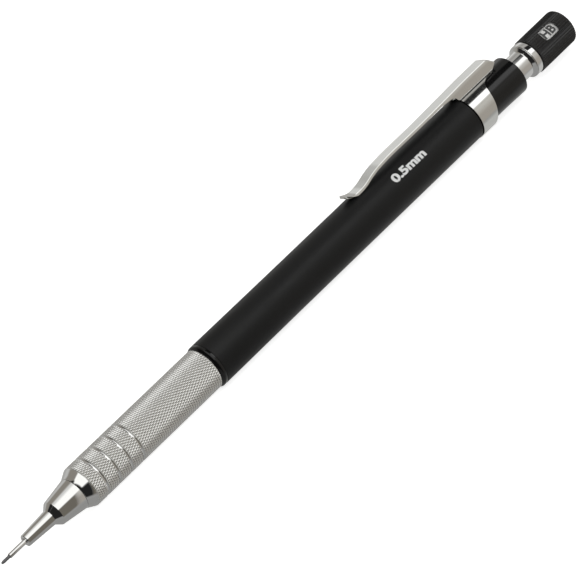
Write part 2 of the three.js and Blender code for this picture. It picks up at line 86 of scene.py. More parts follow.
BARREL_RADIUS, BARREL_FRONT_RADIUS = 4.11, 4.17
NECK_RADIUS, NECK_END_RADIUS = 3.6, 3.73
COLLAR_FRONT, BARREL_FRONT, BARREL_TAPER_END, BARREL_END, NECK_END = 49.25, 50.25, 70, 116.8, 129.3

# The clip: half widths across it, heights above the axis, the facet and the bow of its walls, the lip at its
# tip (length, share of the width, taper, fading edges), and the plate that closes its rear end.
BAND_RADIUS = 4.25
CLIP_TOP, CLIP_HALF, ARM_HALF = 6.08, 1.45, 1.4
CLIP_SHEET, SHEET_CHAMFER, CLIP_FILLET = 0.42, 0.04, 0.1
CROWN_FACET, CROWN_TILT = 0.09, math.radians(52)
WALL_BEND, WALL_TILT = 3.0, math.radians(70)
FLANGE_ANGLE, ARM_ROOT, ARM_EDGE = math.radians(24.5), 113.0, 5.58
TIP_LENGTH, TIP_SHARE, TAPER_LENGTH, LIP_LENGTH = 1.0, 0.55, 6.0, 2.2
STERN_TIP, STERN_TIP_HEIGHT, STERN_SLANT, STERN_BULGE, STERN_RISE = 126.6, 4.6, 0.9, 0.5, 0.7
# The rear edge of its band: the station at the axis' height, the slant with the height, the station where the
# wall's foot leaves it, and the angle in degrees round the neck over which the foot runs out into it.
BAND_REAR, BAND_SLANT, FOOT_REAR, FOOT_RUNOUT = 121.0, 0.2, 121.77, 8.9
# Its upper face from the lip's tip to the rear, as (station, height).
ROOF_LINE = [
    (88.1, 5.5), (89.3, 4.86), (90.35, 4.585), (91.4, 4.60), (92.7, 4.78), (94.4, 5.22), (96.3, 5.54),
    (98, 5.66), (107, 5.74), (115.65, 5.95), (120.5, 6.08), (130, 6.08),
]
# The rear edge of its wall's foot, and the front edge of its wall, as (height, station).
FOOT_LINE = [(3.866, 123.7), (3.89, 124.95), (3.95, 125.5), (4.06, 125.84), (4.33, 126.26), (4.6, 126.6)]
WALL_FRONT_LINE = [
    (3.98, 116.9), (4.2, 116.6), (4.7, 116.4), (5.15, 115.9), (5.35, 115.0), (5.5, 113.8), (5.58, 113.0),
]

SPRING_FRONT, SPRING_END, SPRING_RADIUS, WIRE_RADIUS = 26.3, 37.8, 2.2, 0.2
SPRING_TURNS, CLOSED_PITCH = 8, 0.42
PLUNGER_RADIUS = 2.54

CAP_RADIUS, CAP_BORE, CAP_FRONT, CAP_END, CAP_FLOOR = 3.38, 2.88, 134.3, 143.8, 142.5
CAP_CHAMFER, CAP_EDGE, CAP_CROWN = 0.12, 0.6, 0.3
RIBS, RIB_DEPTH, RIB_START, RIB_SIDES, RIB_ROUNDNESS = 44, 0.13, 0.3, 8, 0.8
WINDOW_STATION, WINDOW_LENGTH, WINDOW_WIDTH, WINDOW_CORNER = 138.97, 3.6, 2.45, 0.7
WINDOW_ANGLE = math.radians(44.5)
BLOCK_FOOT, BLOCK_TOP = 2.2, 5
LENS_RADIUS, LENS_BORE, LENS_REACH, LENS_GAP = 3.18, 2.93, 3, 0.04
DRUM_RADIUS = 2.8

# Printing: the lead size on the barrel and the grades on the drum, half the thickness of the ink, its lift off
# the drum, and a capital's share of the type size.
SIZE_STATION, SIZE_HEIGHT, SIZE_ANGLE = 100.5, 1.45, math.radians(51)
GRADES, GRADE_HEIGHT = ["HB", "B", "2B", "2H", "H", "F"], 1.6
INK_HALF, DRUM_INK_LIFT, CAPITAL_SHARE = 0.006, 0.008, 0.69

# Tolerances: a radius that counts as on the axis, radii that count as equal, and metres between points that
# are merged.
ON_AXIS, SAME_RADIUS, SAME_PLACE = 1e-6, 1e-4, 1e-8


def at(station):
    """The row frame's X of a station."""
    return POINT_X + station * MM


def round_point(station, radius, angle):
    """A point at an angle from the clip's side, turning toward the grade window's side."""
    return Vector((at(station), -radius * MM * math.sin(angle), AXIS_Z + radius * MM * math.cos(angle)))


# ---- materials ----
def new_material(name):
    """A material with its node tree and its shader."""
    made = bpy.data.materials.new(name)
    made.use_nodes = True
    tree = made.node_tree
    return made, tree, tree.nodes["Principled BSDF"]


def coordinates(tree, stretch=(1, 1, 1)):
    """Object coordinates in millimetres, stretched per axis."""
    source = tree.nodes.new("ShaderNodeTexCoord")
    scaled = tree.nodes.new("ShaderNodeMapping")
    scaled.inputs["Scale"].default_value = [1000 * s for s in stretch]
    tree.links.new(source.outputs["Object"], scaled.inputs["Vector"])
    return scaled.outputs["Vector"]


def noise(tree, vector, scale, detail=3.0, roughness=0.55):
    made = tree.nodes.new("ShaderNodeTexNoise")
    made.inputs["Scale"].default_value = scale
    made.inputs["Detail"].default_value = detail
    made.inputs["Roughness"].default_value = roughness
    tree.links.new(vector, made.inputs["Vector"])
    return made.outputs["Fac"]


def remap(tree, value, low, high, out_low, out_high):
    made = tree.nodes.new("ShaderNodeMapRange")
    for name, number in (("From Min", low), ("From Max", high), ("To Min", out_low), ("To Max", out_high)):
        made.inputs[name].default_value = number
    tree.links.new(value, made.inputs["Value"])
    return made.outputs["Result"]


def two_colours(tree, factor, first, second):
    made = tree.nodes.new("ShaderNodeMix")
    made.data_type = "RGBA"
    made.inputs["A"].default_value = (*first, 1)
    made.inputs["B"].default_value = (*second, 1)
    tree.links.new(factor, made.inputs["Factor"])
    return made.outputs["Result"]


def bump(tree, shader, height, distance_mm, strength=1.0):
    made = tree.nodes.new("ShaderNodeBump")
    made.inputs["Strength"].default_value = strength
    made.inputs["Distance"].default_value = distance_mm * MM
    tree.links.new(height, made.inputs["Height"])
    tree.links.new(made.outputs["Normal"], shader.inputs["Normal"])


def metal(name, first, second, rough_low, rough_high, stretch, grain, grain_depth):
    """Bare or plated metal: blotches between two tones, and grain that is stretched per axis, over which the
    roughness runs from low to high. The grain's depth is in millimetres."""
    made, tree, shader = new_material(name)
    shader.inputs["Metallic"].default_value = 1.0
    blotch = noise(tree, coordinates(tree), 0.35, 4)
    tree.links.new(two_colours(tree, blotch, first, second), shader.inputs["Base Color"])
    lines = noise(tree, coordinates(tree, stretch), grain, 4, 0.7)
    tree.links.new(remap(tree, lines, 0.3, 0.7, rough_low, rough_high), shader.inputs["Roughness"])
    bump(tree, shader, lines, grain_depth)
    return made


def plastic(name, first, second, rough_low, rough_high, grain, grain_depth, specular=0.5):
    """Moulded plastic: a faint cloud between two tones, a fine grain in the surface, and handling marks, over
    which the roughness runs from low to high."""
    made, tree, shader = new_material(name)
    shader.inputs["Specular IOR Level"].default_value = specular
    space = coordinates(tree)
    cloud = noise(tree, space, 0.3, 3)
    tree.links.new(two_colours(tree, cloud, first, second), shader.inputs["Base Color"])
    wear = noise(tree, coordinates(tree, (0.25, 1, 1)), 1.1, 5, 0.65)
    tree.links.new(remap(tree, wear, 0.35, 0.7, rough_low, rough_high), shader.inputs["Roughness"])
    bump(tree, shader, noise(tree, space, grain, 2), grain_depth)
    return made


def clear(name, tint, roughness):
    """Clear moulded plastic that passes light straight through, with a gloss on top."""
    made, tree, shader = new_material(name)
    haze = noise(tree, coordinates(tree), 0.6, 3)
    tree.links.new(two_colours(tree, haze, tint, [0.96 * c for c in tint]), shader.inputs["Base Color"])
    tree.links.new(remap(tree, haze, 0.3, 0.7, roughness, roughness * 1.6), shader.inputs["Roughness"])
    shader.inputs["Alpha"].default_value = 0.06
    bump(tree, shader, haze, 0.004)
    return made


MATERIALS = {
    "chrome": metal("bright_chrome", (0.78, 0.78, 0.77), (0.73, 0.73, 0.72),
                    0.03, 0.06, (14, 1, 1), 0.9, 0.0006),
    "satin_steel": metal("satin_plate", (0.76, 0.76, 0.74), (0.70, 0.70, 0.68),
                         0.08, 0.15, (0.12, 7, 7), 1.6, 0.0012),
    "knurled_steel": metal("matt_plate", (0.76, 0.76, 0.745), (0.70, 0.70, 0.685),
                           0.16, 0.24, (1, 1, 1), 6, 0.002),
    "brass": metal("turned_brass", (0.76, 0.58, 0.28), (0.66, 0.48, 0.22),
                   0.2, 0.34, (12, 1, 1), 1.2, 0.003),
    "spring_steel": metal("spring_wire", (0.52, 0.52, 0.53), (0.42, 0.42, 0.43),
                          0.22, 0.34, (1, 1, 1), 3, 0.002),
    "black_plastic": plastic("satin_black", (0.0116, 0.0119, 0.0121), (0.0144, 0.0147, 0.0149),
                             0.36, 0.46, 4.5, 0.004, 0.2),
    "gloss_black": plastic("polished_black", (0.005, 0.005, 0.005), (0.007, 0.007, 0.007),
                           0.1, 0.16, 3, 0.001, 0.38),
    "white_plastic": plastic("white_plastic", (0.96, 0.96, 0.95), (0.93, 0.93, 0.92), 0.3, 0.42, 5, 0.002),
    "eraser_white": plastic("eraser_vinyl", (0.84, 0.83, 0.80), (0.78, 0.77, 0.74), 0.65, 0.8, 5, 0.02, 0.3),
    "rubber": plastic("black_rubber", (0.02, 0.02, 0.02), (0.03, 0.03, 0.03), 0.6, 0.75, 5, 0.01, 0.3),
    "graphite": plastic("pencil_lead", (0.09, 0.09, 0.095), (0.13, 0.13, 0.135), 0.3, 0.45, 9, 0.006, 0.9),
    "clear_plastic": clear("clear_plastic", (0.93, 0.95, 0.96), 0.06),
}
INK = plastic("printing_ink", (0.94, 0.95, 0.96), (0.90, 0.91, 0.92), 0.45, 0.6, 9, 0.003)
CAP_BLACK = plastic("ribbed_black", (0.007, 0.0072, 0.0074), (0.011, 0.0112, 0.0114),
                    0.22, 0.34, 4.5, 0.004, 0.45)
BLACK_INK = plastic("black_ink", (0.004, 0.004, 0.004), (0.006, 0.006, 0.006), 0.5, 0.6, 9, 0.003, 0.1)


# ---- making pieces ----
def new_mesh(name, bm):
    """The bmesh as a mesh. The bmesh is freed."""
    mesh = bpy.data.meshes.new(name)
    bm.to_mesh(mesh)
    bm.free()
    return mesh


def new_object(name, data):
    """An object of the data, in the scene."""
    made = bpy.data.objects.new(name, data)
    bpy.context.scene.collection.objects.link(made)
    return made


def applied(carrier):
    """The mesh that an object comes out as, with its modifiers applied. The object is removed."""
    bpy.context.view_layer.update()
    mesh = bpy.data.meshes.new_from_object(carrier.evaluated_get(bpy.context.evaluated_depsgraph_get()))
    bpy.data.objects.remove(carrier)
    return mesh


def piece(name, bm, slot, body, *nodes, smooth=32, material=None):
    """A finished mesh object that rides on a body and stands for its CAD nodes."""
    bmesh.ops.remove_doubles(bm, verts=bm.verts, dist=SAME_PLACE)
    bmesh.ops.dissolve_degenerate(bm, edges=bm.edges, dist=SAME_PLACE)
    mesh = new_mesh(name, bm)
    mesh.shade_smooth()
    mesh.set_sharp_from_angle(angle=math.radians(smooth))
    made = new_object(name, mesh)
    mesh.materials.append(material or MATERIALS[slot])
    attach(made, body)
    if nodes:
        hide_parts(*nodes)
    return made


def rounded(profile, size=EDGE, steps=3):
    """The profile with its corners turned into small arcs. A point is (station, radius) for a corner of the
    usual size, or (station, radius, size) for one of its own."""
    result = []
    for i, point in enumerate(profile):
        here = Vector(point[:2])
        before = Vector(profile[i - 1][:2])
        after = Vector(profile[(i + 1) % len(profile)][:2])
        wanted = point[2] if len(point) > 2 else size
        reach = min(wanted, 0.45 * (before - here).length, 0.45 * (after - here).length)
        if reach < SAME_RADIUS or here[1] < ON_AXIS:
            result.append(tuple(here))
            continue
        start = here + (before - here).normalized() * reach
        end = here + (after - here).normalized() * reach
        for k in range(steps + 1):
            t = k / steps
            result.append(tuple(start * (1 - t) ** 2 + here * 2 * t * (1 - t) + end * t ** 2))
    return result


def add_ring(bm, station, radii):
    """Vertices round the axis with these radii at even angles, or a single one for a ring on the axis."""
    if radii[0] < ON_AXIS:
        return [bm.verts.new(round_point(station, 0, 0))]
    return [bm.verts.new(round_point(station, radius, 2 * math.pi * k / len(radii)))
            for k, radius in enumerate(radii)]


def close_rings(bm, rings):
    """Joins each ring to the next, and the last to the first, by squares, or triangles to a single vertex."""
    sides = max(len(ring) for ring in rings)
    for first, second in zip(rings, rings[1:] + rings[:1]):
        if len(first) == 1 and len(second) == 1:
            continue
        for k in range(sides):
            corners = [first[k % len(first)], first[(k + 1) % len(first)],
                       second[(k + 1) % len(second)], second[k % len(second)]]
            bm.faces.new([v for n, v in enumerate(corners) if v not in corners[:n]])


def turn(bm, profile, sides=SMOOTH_SIDES):
    """Adds a closed profile of (station, radius) points turned about the axis."""
    close_rings(bm, [add_ring(bm, station, [radius] * sides) for station, radius in profile])


def turned_piece(name, profile, slot, body, *nodes, sides=SMOOTH_SIDES, size=EDGE):
    """A finished piece turned from a profile, with its corners rounded."""
    bm = bmesh.new()
    turn(bm, rounded(profile, size), sides)
    bmesh.ops.recalc_face_normals(bm, faces=bm.faces)
    return piece(name, bm, slot, body, *nodes)


def tube_profile(front, end, outer, inner):
    """The profile of a plain tube between two stations."""
    return [(front, inner), (front, outer), (end, outer), (end, inner)]


# ---- front end ----
def make_front():
    turned_piece("writing_lead_visual", [
        (0, 0), (0, 0.17, 0.08), (0.4, LEAD_RADIUS, 0.12), (60, LEAD_RADIUS, 0.03), (60, 0),
    ], "graphite", "lead", "writing_lead", sides=40)
    turned_piece("lead_sleeve_visual", [
        (1.8, 0.31, 0.02), (1.8, SLEEVE_RADIUS, 0.07), (12, SLEEVE_RADIUS, 0.02), (12, 0.31, 0.02),
    ], "chrome", "nose", "lead_sleeve", sides=64)
    bore = SLEEVE_RADIUS + 0.03
    turned_piece("nose_cone_visual", [
        (NOSE_FRONT, bore, 0.03), (NOSE_FRONT, 1.09, 0.2), (11.3, 1.43, 0.06), (12.4, 2.33, 0.06),
        (NOSE_SEAM, NOSE_SEAM_RADIUS, 0.05), (NOSE_SEAM, 2.62, 0.02), (17.6, 2.45), (18.2, 2.62),
        (23.8, 2.62, 0.1), (24, 2.4), (24, 2.0), (16.4, 2.0), (16.4, 1.7), (14.3, 1.7), (14.3, 1.35),
        (12.6, 1.35), (12.6, bore),
    ], "chrome", "nose", "nose_cone")
    turned_piece("lead_retainer_visual", [
        (12.66, 0.32), (12.66, 1.29), (14.2, 1.29), (14.2, 0.65), (13.9, 0.32),
    ], "rubber", "nose", "lead_retainer", sides=64)


# ---- grip ----
def polish(made, chosen, material):
    """Gives a second material to the faces of a turned piece whose middle is at a chosen station."""
    made.data.materials.append(material)
    for face in made.data.polygons:
        if chosen((face.center.x - POINT_X) / MM):
            face.material_index = 1


def knurl_rise(column, row):
    """Share of the knurl's depth on its grid of quarter pitches: 1 on a point's top, 0 in the grooves."""
    if column % 2 and row % 2:
        return 0
    return 1 if column % 2 or row % 2 else (column + row) // 2 % 2


def knurl_rings(front, end):
    """The rings of a knurled band that is cut off square at both ends, as (station, radii round the axis)."""
    rows = round((end - front) / KNURL_PITCH * 4)
    step = (end - front - 2 * KNURL_CUT) / rows
    return [(front + KNURL_CUT + step * row,
             [GRIP_RADIUS - KNURL_DEPTH * (1 - knurl_rise(column, row)) for column in range(KNURL_SIDES)])
            for row in range(rows + 1)]


def join_knurl(bm, rings, core):
    """Closes a loop of (station, radii) rings; its squares fold along the knurl's ridges and grooves."""
    made = [add_ring(bm, station, radii) for station, radii in rings]
    for i in range(len(rings)):
        j = (i + 1) % len(rings)
        here, there = rings[i][1], rings[j][1]
        for k in range(KNURL_SIDES):
            n = (k + 1) % KNURL_SIDES
            corners = [made[i][k], made[i][n], made[j][n], made[j][k]]
            low = [radius <= core + SAME_RADIUS for radius in (here[k], here[n], there[n], there[k])]
            if all(low):
                bm.faces.new(corners)
                continue
            first = 0 if low[0] and low[2] or low[1] != low[3] and not (low[0] or low[2]) else 1
            bm.faces.new([corners[(first + m) % 4] for m in (0, 1, 2)])
            bm.faces.new([corners[(first + m) % 4] for m in (2, 3, 0)])


def grip_outline(core):
    """The grip's profile: seat, front chamfer, four grooves, end, and the steps of the bore."""
    outline = [
        (GRIP_FRONT, 2.72, 0.02), (GRIP_FRONT, NOSE_SEAM_RADIUS, 0.05),
        (GRIP_KNURL - 0.08, GRIP_RADIUS - 0.02, 0.05), (GRIP_KNURL, core, 0.02),
    ]
    for groove in GROOVES:
        front, end = groove - GROOVE_HALF, groove + GROOVE_HALF
        outline += [(front, core, 0.01), (front + GROOVE_SIDE, core - GROOVE_DEPTH, 0.03),
                    (end - GROOVE_SIDE, core - GROOVE_DEPTH, 0.03), (end, core, 0.01)]
    return outline + [
        (GRIP_END - 0.12, core, 0.02), (GRIP_END, core - 0.05, 0.02), (GRIP_END, 3.0, 0.02),
        (24.3, 3.0, 0.02), (24.3, 2.72, 0.02),
    ]


def make_grip():
    """One closed surface: plain rings with the knurled bands between the grooves set in."""
    core = GRIP_RADIUS - KNURL_DEPTH
    profile = rounded(grip_outline(core), 0.02, 2)
    rings = []
    for (station, radius), (next_station, next_radius) in zip(profile, profile[1:] + profile[:1]):
        rings.append((station, [radius] * KNURL_SIDES))
        at_core = max(abs(radius - core), abs(next_radius - core)) < SAME_RADIUS
        if at_core and next_station - station > KNURL_PITCH:
            rings += knurl_rings(station, next_station)
    bm = bmesh.new()
    join_knurl(bm, rings, core)
    bmesh.ops.recalc_face_normals(bm, faces=bm.faces)
    grip = piece("grip_sleeve_visual", bm, "knurled_steel", "body", "grip_sleeve", smooth=50)
    polish(grip, lambda station: station < GRIP_KNURL or min(abs(station - g) for g in GROOVES) < GROOVE_HALF,
           MATERIALS["chrome"])


# ---- barrel ----
def make_barrel():
    turned_piece("collar_ring_visual", [
        (COLLAR_FRONT, 3.05), (COLLAR_FRONT, 3.75, 0.05), (COLLAR_FRONT + 0.38, BARREL_FRONT_RADIUS, 0.1),
        (BARREL_FRONT - 0.05, BARREL_FRONT_RADIUS, 0.06), (BARREL_FRONT - 0.05, 3.05),
    ], "gloss_black", "body", "collar_ring")
    barrel = turned_piece("barrel_visual", [
        (BARREL_FRONT, 3.0), (BARREL_FRONT, BARREL_FRONT_RADIUS, 0.06), (BARREL_TAPER_END, BARREL_RADIUS, 4),
        (BARREL_END, BARREL_RADIUS, 0.55), (BARREL_END, NECK_RADIUS, 0.04), (124, NECK_RADIUS, 1.5),
        (NECK_END, NECK_END_RADIUS, 0.28), (NECK_END, 3.0, 0.05),
    ], "black_plastic", "body", "barrel", size=0.05)
    polish(barrel, lambda station: station > BARREL_END - 0.02, MATERIALS["gloss_black"])
    turned_piece("neck_bushing_visual", tube_profile(125, NECK_END - 0.3, 2.96, 2.62), "black_plastic",
                 "body", "neck_bushing", size=0.08)
    turned_piece("threaded_coupling_visual", tube_profile(44, 58, 2.95, 2.55), "brass", "body",
                 "threaded_coupling")


def lettering(name, text, height, station, radius, angle, body, slot, ink, spread=0.0, widen=1.0):
    """Printed characters wrapped round the pencil: tops toward the clip, read from the point rearward."""
    curve = bpy.data.curves.new(name, "FONT")
    curve.body = text
    curve.size = height * MM / CAPITAL_SHARE
    curve.align_x = "CENTER"
    curve.align_y = "CENTER"
    curve.offset = spread * MM
    curve.extrude = INK_HALF * MM
    curve.resolution_u = 6
    bm = bmesh.new()
    bm.from_mesh(applied(new_object(name + "_curve", curve)))
    slices = 14
    for i in range(-slices, slices + 1):
        level = Vector((0, i * height * MM / slices, 0))
        everything = bm.verts[:] + bm.edges[:] + bm.faces[:]
        bmesh.ops.bisect_plane(bm, geom=everything, plane_co=level, plane_no=(0, 1, 0))
    for vertex in bm.verts:
        along, up, out = vertex.co / MM
        vertex.co = round_point(station + along * widen, radius + out, angle - up / radius)
    return piece(name, bm, slot, body, material=ink)


# ---- clip ----
def roof_height(station):
    """Height of the clip's upper face above the axis: a smooth curve through the roof line's points."""
    def slope_between(k):
        (x0, z0), (x1, z1) = ROOF_LINE[k:k + 2]
        return (z1 - z0) / (x1 - x0)

    def slope(k):
        if k in (0, len(ROOF_LINE) - 1):
            return slope_between(max(k - 1, 0))
        before, after = slope_between(k - 1), slope_between(k)
        x0, x1, x2 = (x for x, z in ROOF_LINE[k - 1:k + 2])
        return (before * (x2 - x1) + after * (x1 - x0)) / (x2 - x0) if before * after > 0 else 0.0

    i = max(k for k, (x, z) in enumerate(ROOF_LINE[:-1]) if x <= station or k == 0)
    (x0, z0), (x1, z1) = ROOF_LINE[i:i + 2]
    length = x1 - x0
    t = (station - x0) / length
    return (z0 * (2 * t ** 3 - 3 * t ** 2 + 1) + slope(i) * length * (t ** 3 - 2 * t ** 2 + t)
            + z1 * (3 * t ** 2 - 2 * t ** 3) + slope(i + 1) * length * (t ** 3 - t ** 2))


def along_line(line, height):
    """The station at a height on an edge given as (height, station) points."""
    for (z0, x0), (z1, x1) in zip(line, line[1:]):
        if height <= z1:
            return x0 + (x1 - x0) * max(height - z0, 0) / (z1 - z0)
    return line[-1][1]


def shares(count):
    """Even steps up to 1, without 0."""
    return [k / count for k in range(1, count + 1)]


def clip_section():
    """One half of the clip's outer section, from the crown down to the underside of the band, as (y, z). The
    band's points stand closer near the wall's foot."""
    bow = WALL_BEND * (1 - math.sin(WALL_TILT))
    flat = CLIP_HALF - bow - CROWN_FACET * math.cos(CROWN_TILT)
    points = [(0, CLIP_TOP)] + [(flat * t, CLIP_TOP) for t in shares(7)]
    shoulder_y, shoulder_z = CLIP_HALF - bow, CLIP_TOP - CROWN_FACET * math.sin(CROWN_TILT)
    points += [((flat + shoulder_y) / 2, (CLIP_TOP + shoulder_z) / 2), (shoulder_y, shoulder_z)]
    for t in shares(10):
        bend = WALL_TILT + (math.pi / 2 - WALL_TILT) * t
        points.append((shoulder_y + WALL_BEND * (math.sin(bend) - math.sin(WALL_TILT)),
                       shoulder_z - WALL_BEND * (math.cos(WALL_TILT) - math.cos(bend))))
    wall_z = points[-1][1]
    foot_y = CLIP_HALF + CLIP_FILLET
    foot_z = math.sqrt((BAND_RADIUS + CLIP_FILLET) ** 2 - foot_y ** 2)
    points += [(CLIP_HALF, wall_z + (STERN_TIP_HEIGHT - wall_z) * t) for t in shares(3)]
    points += [(CLIP_HALF, STERN_TIP_HEIGHT + (foot_z - STERN_TIP_HEIGHT) * t) for t in shares(6)]
    leave = math.atan2(foot_y, foot_z)
    for t in shares(5):
        bend = (math.pi / 2 - leave) * t
        points.append((foot_y - CLIP_FILLET * math.cos(bend), foot_z - CLIP_FILLET * math.sin(bend)))
    round_band = [leave + (FLANGE_ANGLE - leave) * t for t in shares(8)]
    round_band += [FLANGE_ANGLE + (math.pi - FLANGE_ANGLE) * t ** 1.4 for t in shares(60)]
    return points + [(BAND_RADIUS * math.sin(angle), BAND_RADIUS * math.cos(angle)) for angle in round_band]


def clip_columns():
    """The half section with the stations where the sheet begins and ends: (y, z, front, rear)."""
    columns = []
    for y, z in clip_section():
        angle = math.atan2(y, z)
        if z >= STERN_TIP_HEIGHT - 1e-9:
            rear = STERN_TIP - STERN_SLANT * (z - STERN_TIP_HEIGHT)
        elif angle <= FLANGE_ANGLE + 1e-9:
            rear = along_line(FOOT_LINE, z)
        else:
            past_flange = math.degrees(angle - FLANGE_ANGLE)
            runout = (FOOT_LINE[0][1] - FOOT_REAR) * math.exp(-past_flange / FOOT_RUNOUT)
            rear = BAND_REAR + BAND_SLANT * z + runout
        columns.append((y, z, along_line(WALL_FRONT_LINE, z), rear))
    return columns


def roof_drop(station, height):
    """How far a point of the rear section sinks, since the roof is lower toward the front."""
    share = (height - STERN_TIP_HEIGHT) / (ARM_EDGE - STERN_TIP_HEIGHT)
    return (CLIP_TOP - roof_height(station)) * min(max(share, 0), 1)


def add_rear(bm, columns):
    """The band and the channel over it. Returns the vertices, one list a column, closer toward the rear."""
    steps = 48
    grid = []
    for y, z, front, rear in columns:
        line = []
        for i in range(steps + 1):
            station = front + (rear - front) * (1 - (1 - i / steps) ** 1.5)
            line.append(bm.verts.new((at(station), y * MM, AXIS_Z + (z - roof_drop(station, z)) * MM)))
        grid.append(line)
    for a, b in zip(grid, grid[1:]):
        for i in range(steps):
            bm.faces.new((a[i], a[i + 1], b[i + 1], b[i]))
    return grid


def add_stern(bm, columns, grid):
    """The slanted plate that closes the channel's rear end, bulging rearward between the walls."""
    middle = len(columns) // 2
    edge = max(k for k in range(middle, len(columns)) if columns[k][1] >= CLIP_TOP - 1e-6)
    last = max(k for k in range(middle, len(columns)) if columns[k][1] >= STERN_TIP_HEIGHT - 1e-6)
    across = 2 * (edge - middle)
    previous = [grid[k][-1] for k in range(2 * middle - edge, edge + 1)]
    for k in range(edge + 1, last + 1):
        left, right = grid[2 * middle - k][-1], grid[k][-1]
        width = right.co.y
        depth = math.sin(math.pi / 2 * min((CLIP_TOP - columns[k][1]) / STERN_RISE, 1))
        row = [left]
        for n in range(1, across):
            y = -width * math.cos(math.pi * n / across)
            bulge = STERN_BULGE * depth * math.sqrt(1 - (y / width) ** 2)
            row.append(bm.verts.new((left.co.x + bulge * MM, y, left.co.z)))
        row.append(right)
        for n in range(across):
            bm.faces.new((previous[n], previous[n + 1], row[n + 1], row[n]))
        previous = row


def add_arm(bm, columns, grid):
    """The spring arm: a shallow channel that narrows a little and ends in a rounded, turned-up lip, where its
    turned-down edges fade out."""
    middle = len(columns) // 2
    last = max(k for k in range(middle, len(columns)) if columns[k][1] >= ARM_EDGE - 1e-6)
    roof = range(2 * middle - last, last + 1)
    previous = [grid[k][0] for k in roof]
    tip_station = ROOF_LINE[0][0]
    for t in shares(110):
        station = ARM_ROOT + (tip_station - ARM_ROOT) * t
        near_tip = max(1 - (station - tip_station) / TIP_LENGTH, 0)
        tip_width = 1 - (1 - TIP_SHARE) * (1 - math.sqrt(1 - near_tip ** 2))
        taper = min((ARM_ROOT - station) / TAPER_LENGTH, 1)
        narrow = (1 + (ARM_HALF / CLIP_HALF - 1) * taper) * tip_width
        turned_down = min(max((station - tip_station) / LIP_LENGTH, 0.1), 1)
        row = []
        for k in roof:
            y, z = columns[k][:2]
            height = roof_height(station) + (z - CLIP_TOP) * turned_down
            row.append(bm.verts.new((at(station), y * narrow * MM, AXIS_Z + height * MM)))
        for n in range(len(row) - 1):
            bm.faces.new((previous[n], previous[n + 1], row[n + 1], row[n]))
        previous = row


def clip_surface():
    """The outer face of the clip's whole sheet, facing outward."""
    bm = bmesh.new()
    half = clip_columns()
    columns = [(-y, z, front, rear) for y, z, front, rear in half[:0:-1]] + half
    grid = add_rear(bm, columns)
    add_stern(bm, columns, grid)
    add_arm(bm, columns, grid)
    bmesh.ops.remove_doubles(bm, verts=bm.verts, dist=SAME_PLACE)
    bmesh.ops.recalc_face_normals(bm, faces=bm.faces)
    top_face = max(bm.faces, key=lambda f: f.calc_center_median().z)
    if top_face.normal.z < 0:
        bmesh.ops.reverse_faces(bm, faces=bm.faces)
    return bm


def make_clip():
    """One bent sheet, thickened inward, with fine chamfers. It bends where the arm leaves the band."""
    sheet = new_object("clip_sheet", new_mesh("clip_sheet", clip_surface()))
    thick = sheet.modifiers.new("thickness", "SOLIDIFY")
    thick.thickness = CLIP_SHEET * MM
    thick.offset = -1
    thick.use_even_offset = True
    edge = sheet.modifiers.new("edge", "BEVEL")
    edge.width = SHEET_CHAMFER * MM
    edge.segments = 1
    edge.limit_method = "ANGLE"
    edge.angle_limit = math.radians(62)
    final = applied(sheet)
    final.name = "clip_visual"
    final.shade_smooth()
    final.set_sharp_from_angle(angle=math.radians(38))
    final.materials.clear()
    final.materials.append(MATERIALS["satin_steel"])
    clip = new_object("clip_visual", final)
    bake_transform(clip)
    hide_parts("clip_mount", "clip_arm")


# ---- push mechanism ----
def make_inside():
    """The clutch, the seat of its spring, and the lead store."""
    turned_piece("clutch_ring_visual", [
        (17.1, 1.5), (17.1, 1.7), (17.25, 1.9), (19.1, 1.9), (19.1, 1.45), (18.5, 1.41), (17.4, 1.41),
    ], "brass", "clutch", "clutch_ring", sides=72, size=0.03)
    turned_piece("collet_stem_visual", tube_profile(26.3, 37, 1.0, 0.4), "brass", "pusher", "collet_stem",
                 sides=48)
    turned_piece("spring_seat_visual", tube_profile(25, 26, 2.95, 1.75), "brass", "body", "spring_seat",
                 sides=96)
    turned_piece("reservoir_connector_visual", [
        (31, 1.08), (31, 1.7, 0.12), (38.05, 1.7, 0.02), (38.05, 2.5), (39.1, 2.5), (39.1, 1.45, 0.02),
        (43, 1.45), (43, 1.1), (38.5, 0.4), (37.05, 0.4), (37.05, 1.08),
    ], "brass", "pusher", "reservoir_connector", sides=72)
    turned_piece("reservoir_tube_visual", tube_profile(39.15, 118, 1.9, 1.5), "clear_plastic", "pusher",
                 "reservoir_tube", sides=72)


def make_spring():
    """A compression spring with closed ends."""
    bm = bmesh.new()
    around, steps = 12, 36
    open_length = SPRING_END - SPRING_FRONT - 2 * CLOSED_PITCH
    rings = []
    for i in range(SPRING_TURNS * steps + 1):
        turns = i / steps
        closed = CLOSED_PITCH * (min(turns, 1) + max(turns - SPRING_TURNS + 1, 0))
        rise = min(max((turns - 1) / (SPRING_TURNS - 2), 0), 1)
        station = SPRING_FRONT + closed + open_length * rise
        ring = []
        for k in range(around):
            spin = 2 * math.pi * k / around
            along, out = WIRE_RADIUS * math.sin(spin), WIRE_RADIUS * math.cos(spin)
            ring.append(bm.verts.new(round_point(station + along, SPRING_RADIUS + out, 2 * math.pi * turns)))
        rings.append(ring)
    for first, second in zip(rings, rings[1:]):
        for k in range(around):
            after = (k + 1) % around
            bm.faces.new((first[k], second[k], second[after], first[after]))
    bm.faces.new(rings[0])
    bm.faces.new(rings[-1][::-1])
    bmesh.ops.recalc_face_normals(bm, faces=bm.faces)
    spring = piece("main_spring_visual", bm, "spring_steel", "body", "main_spring")
    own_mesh(spring)


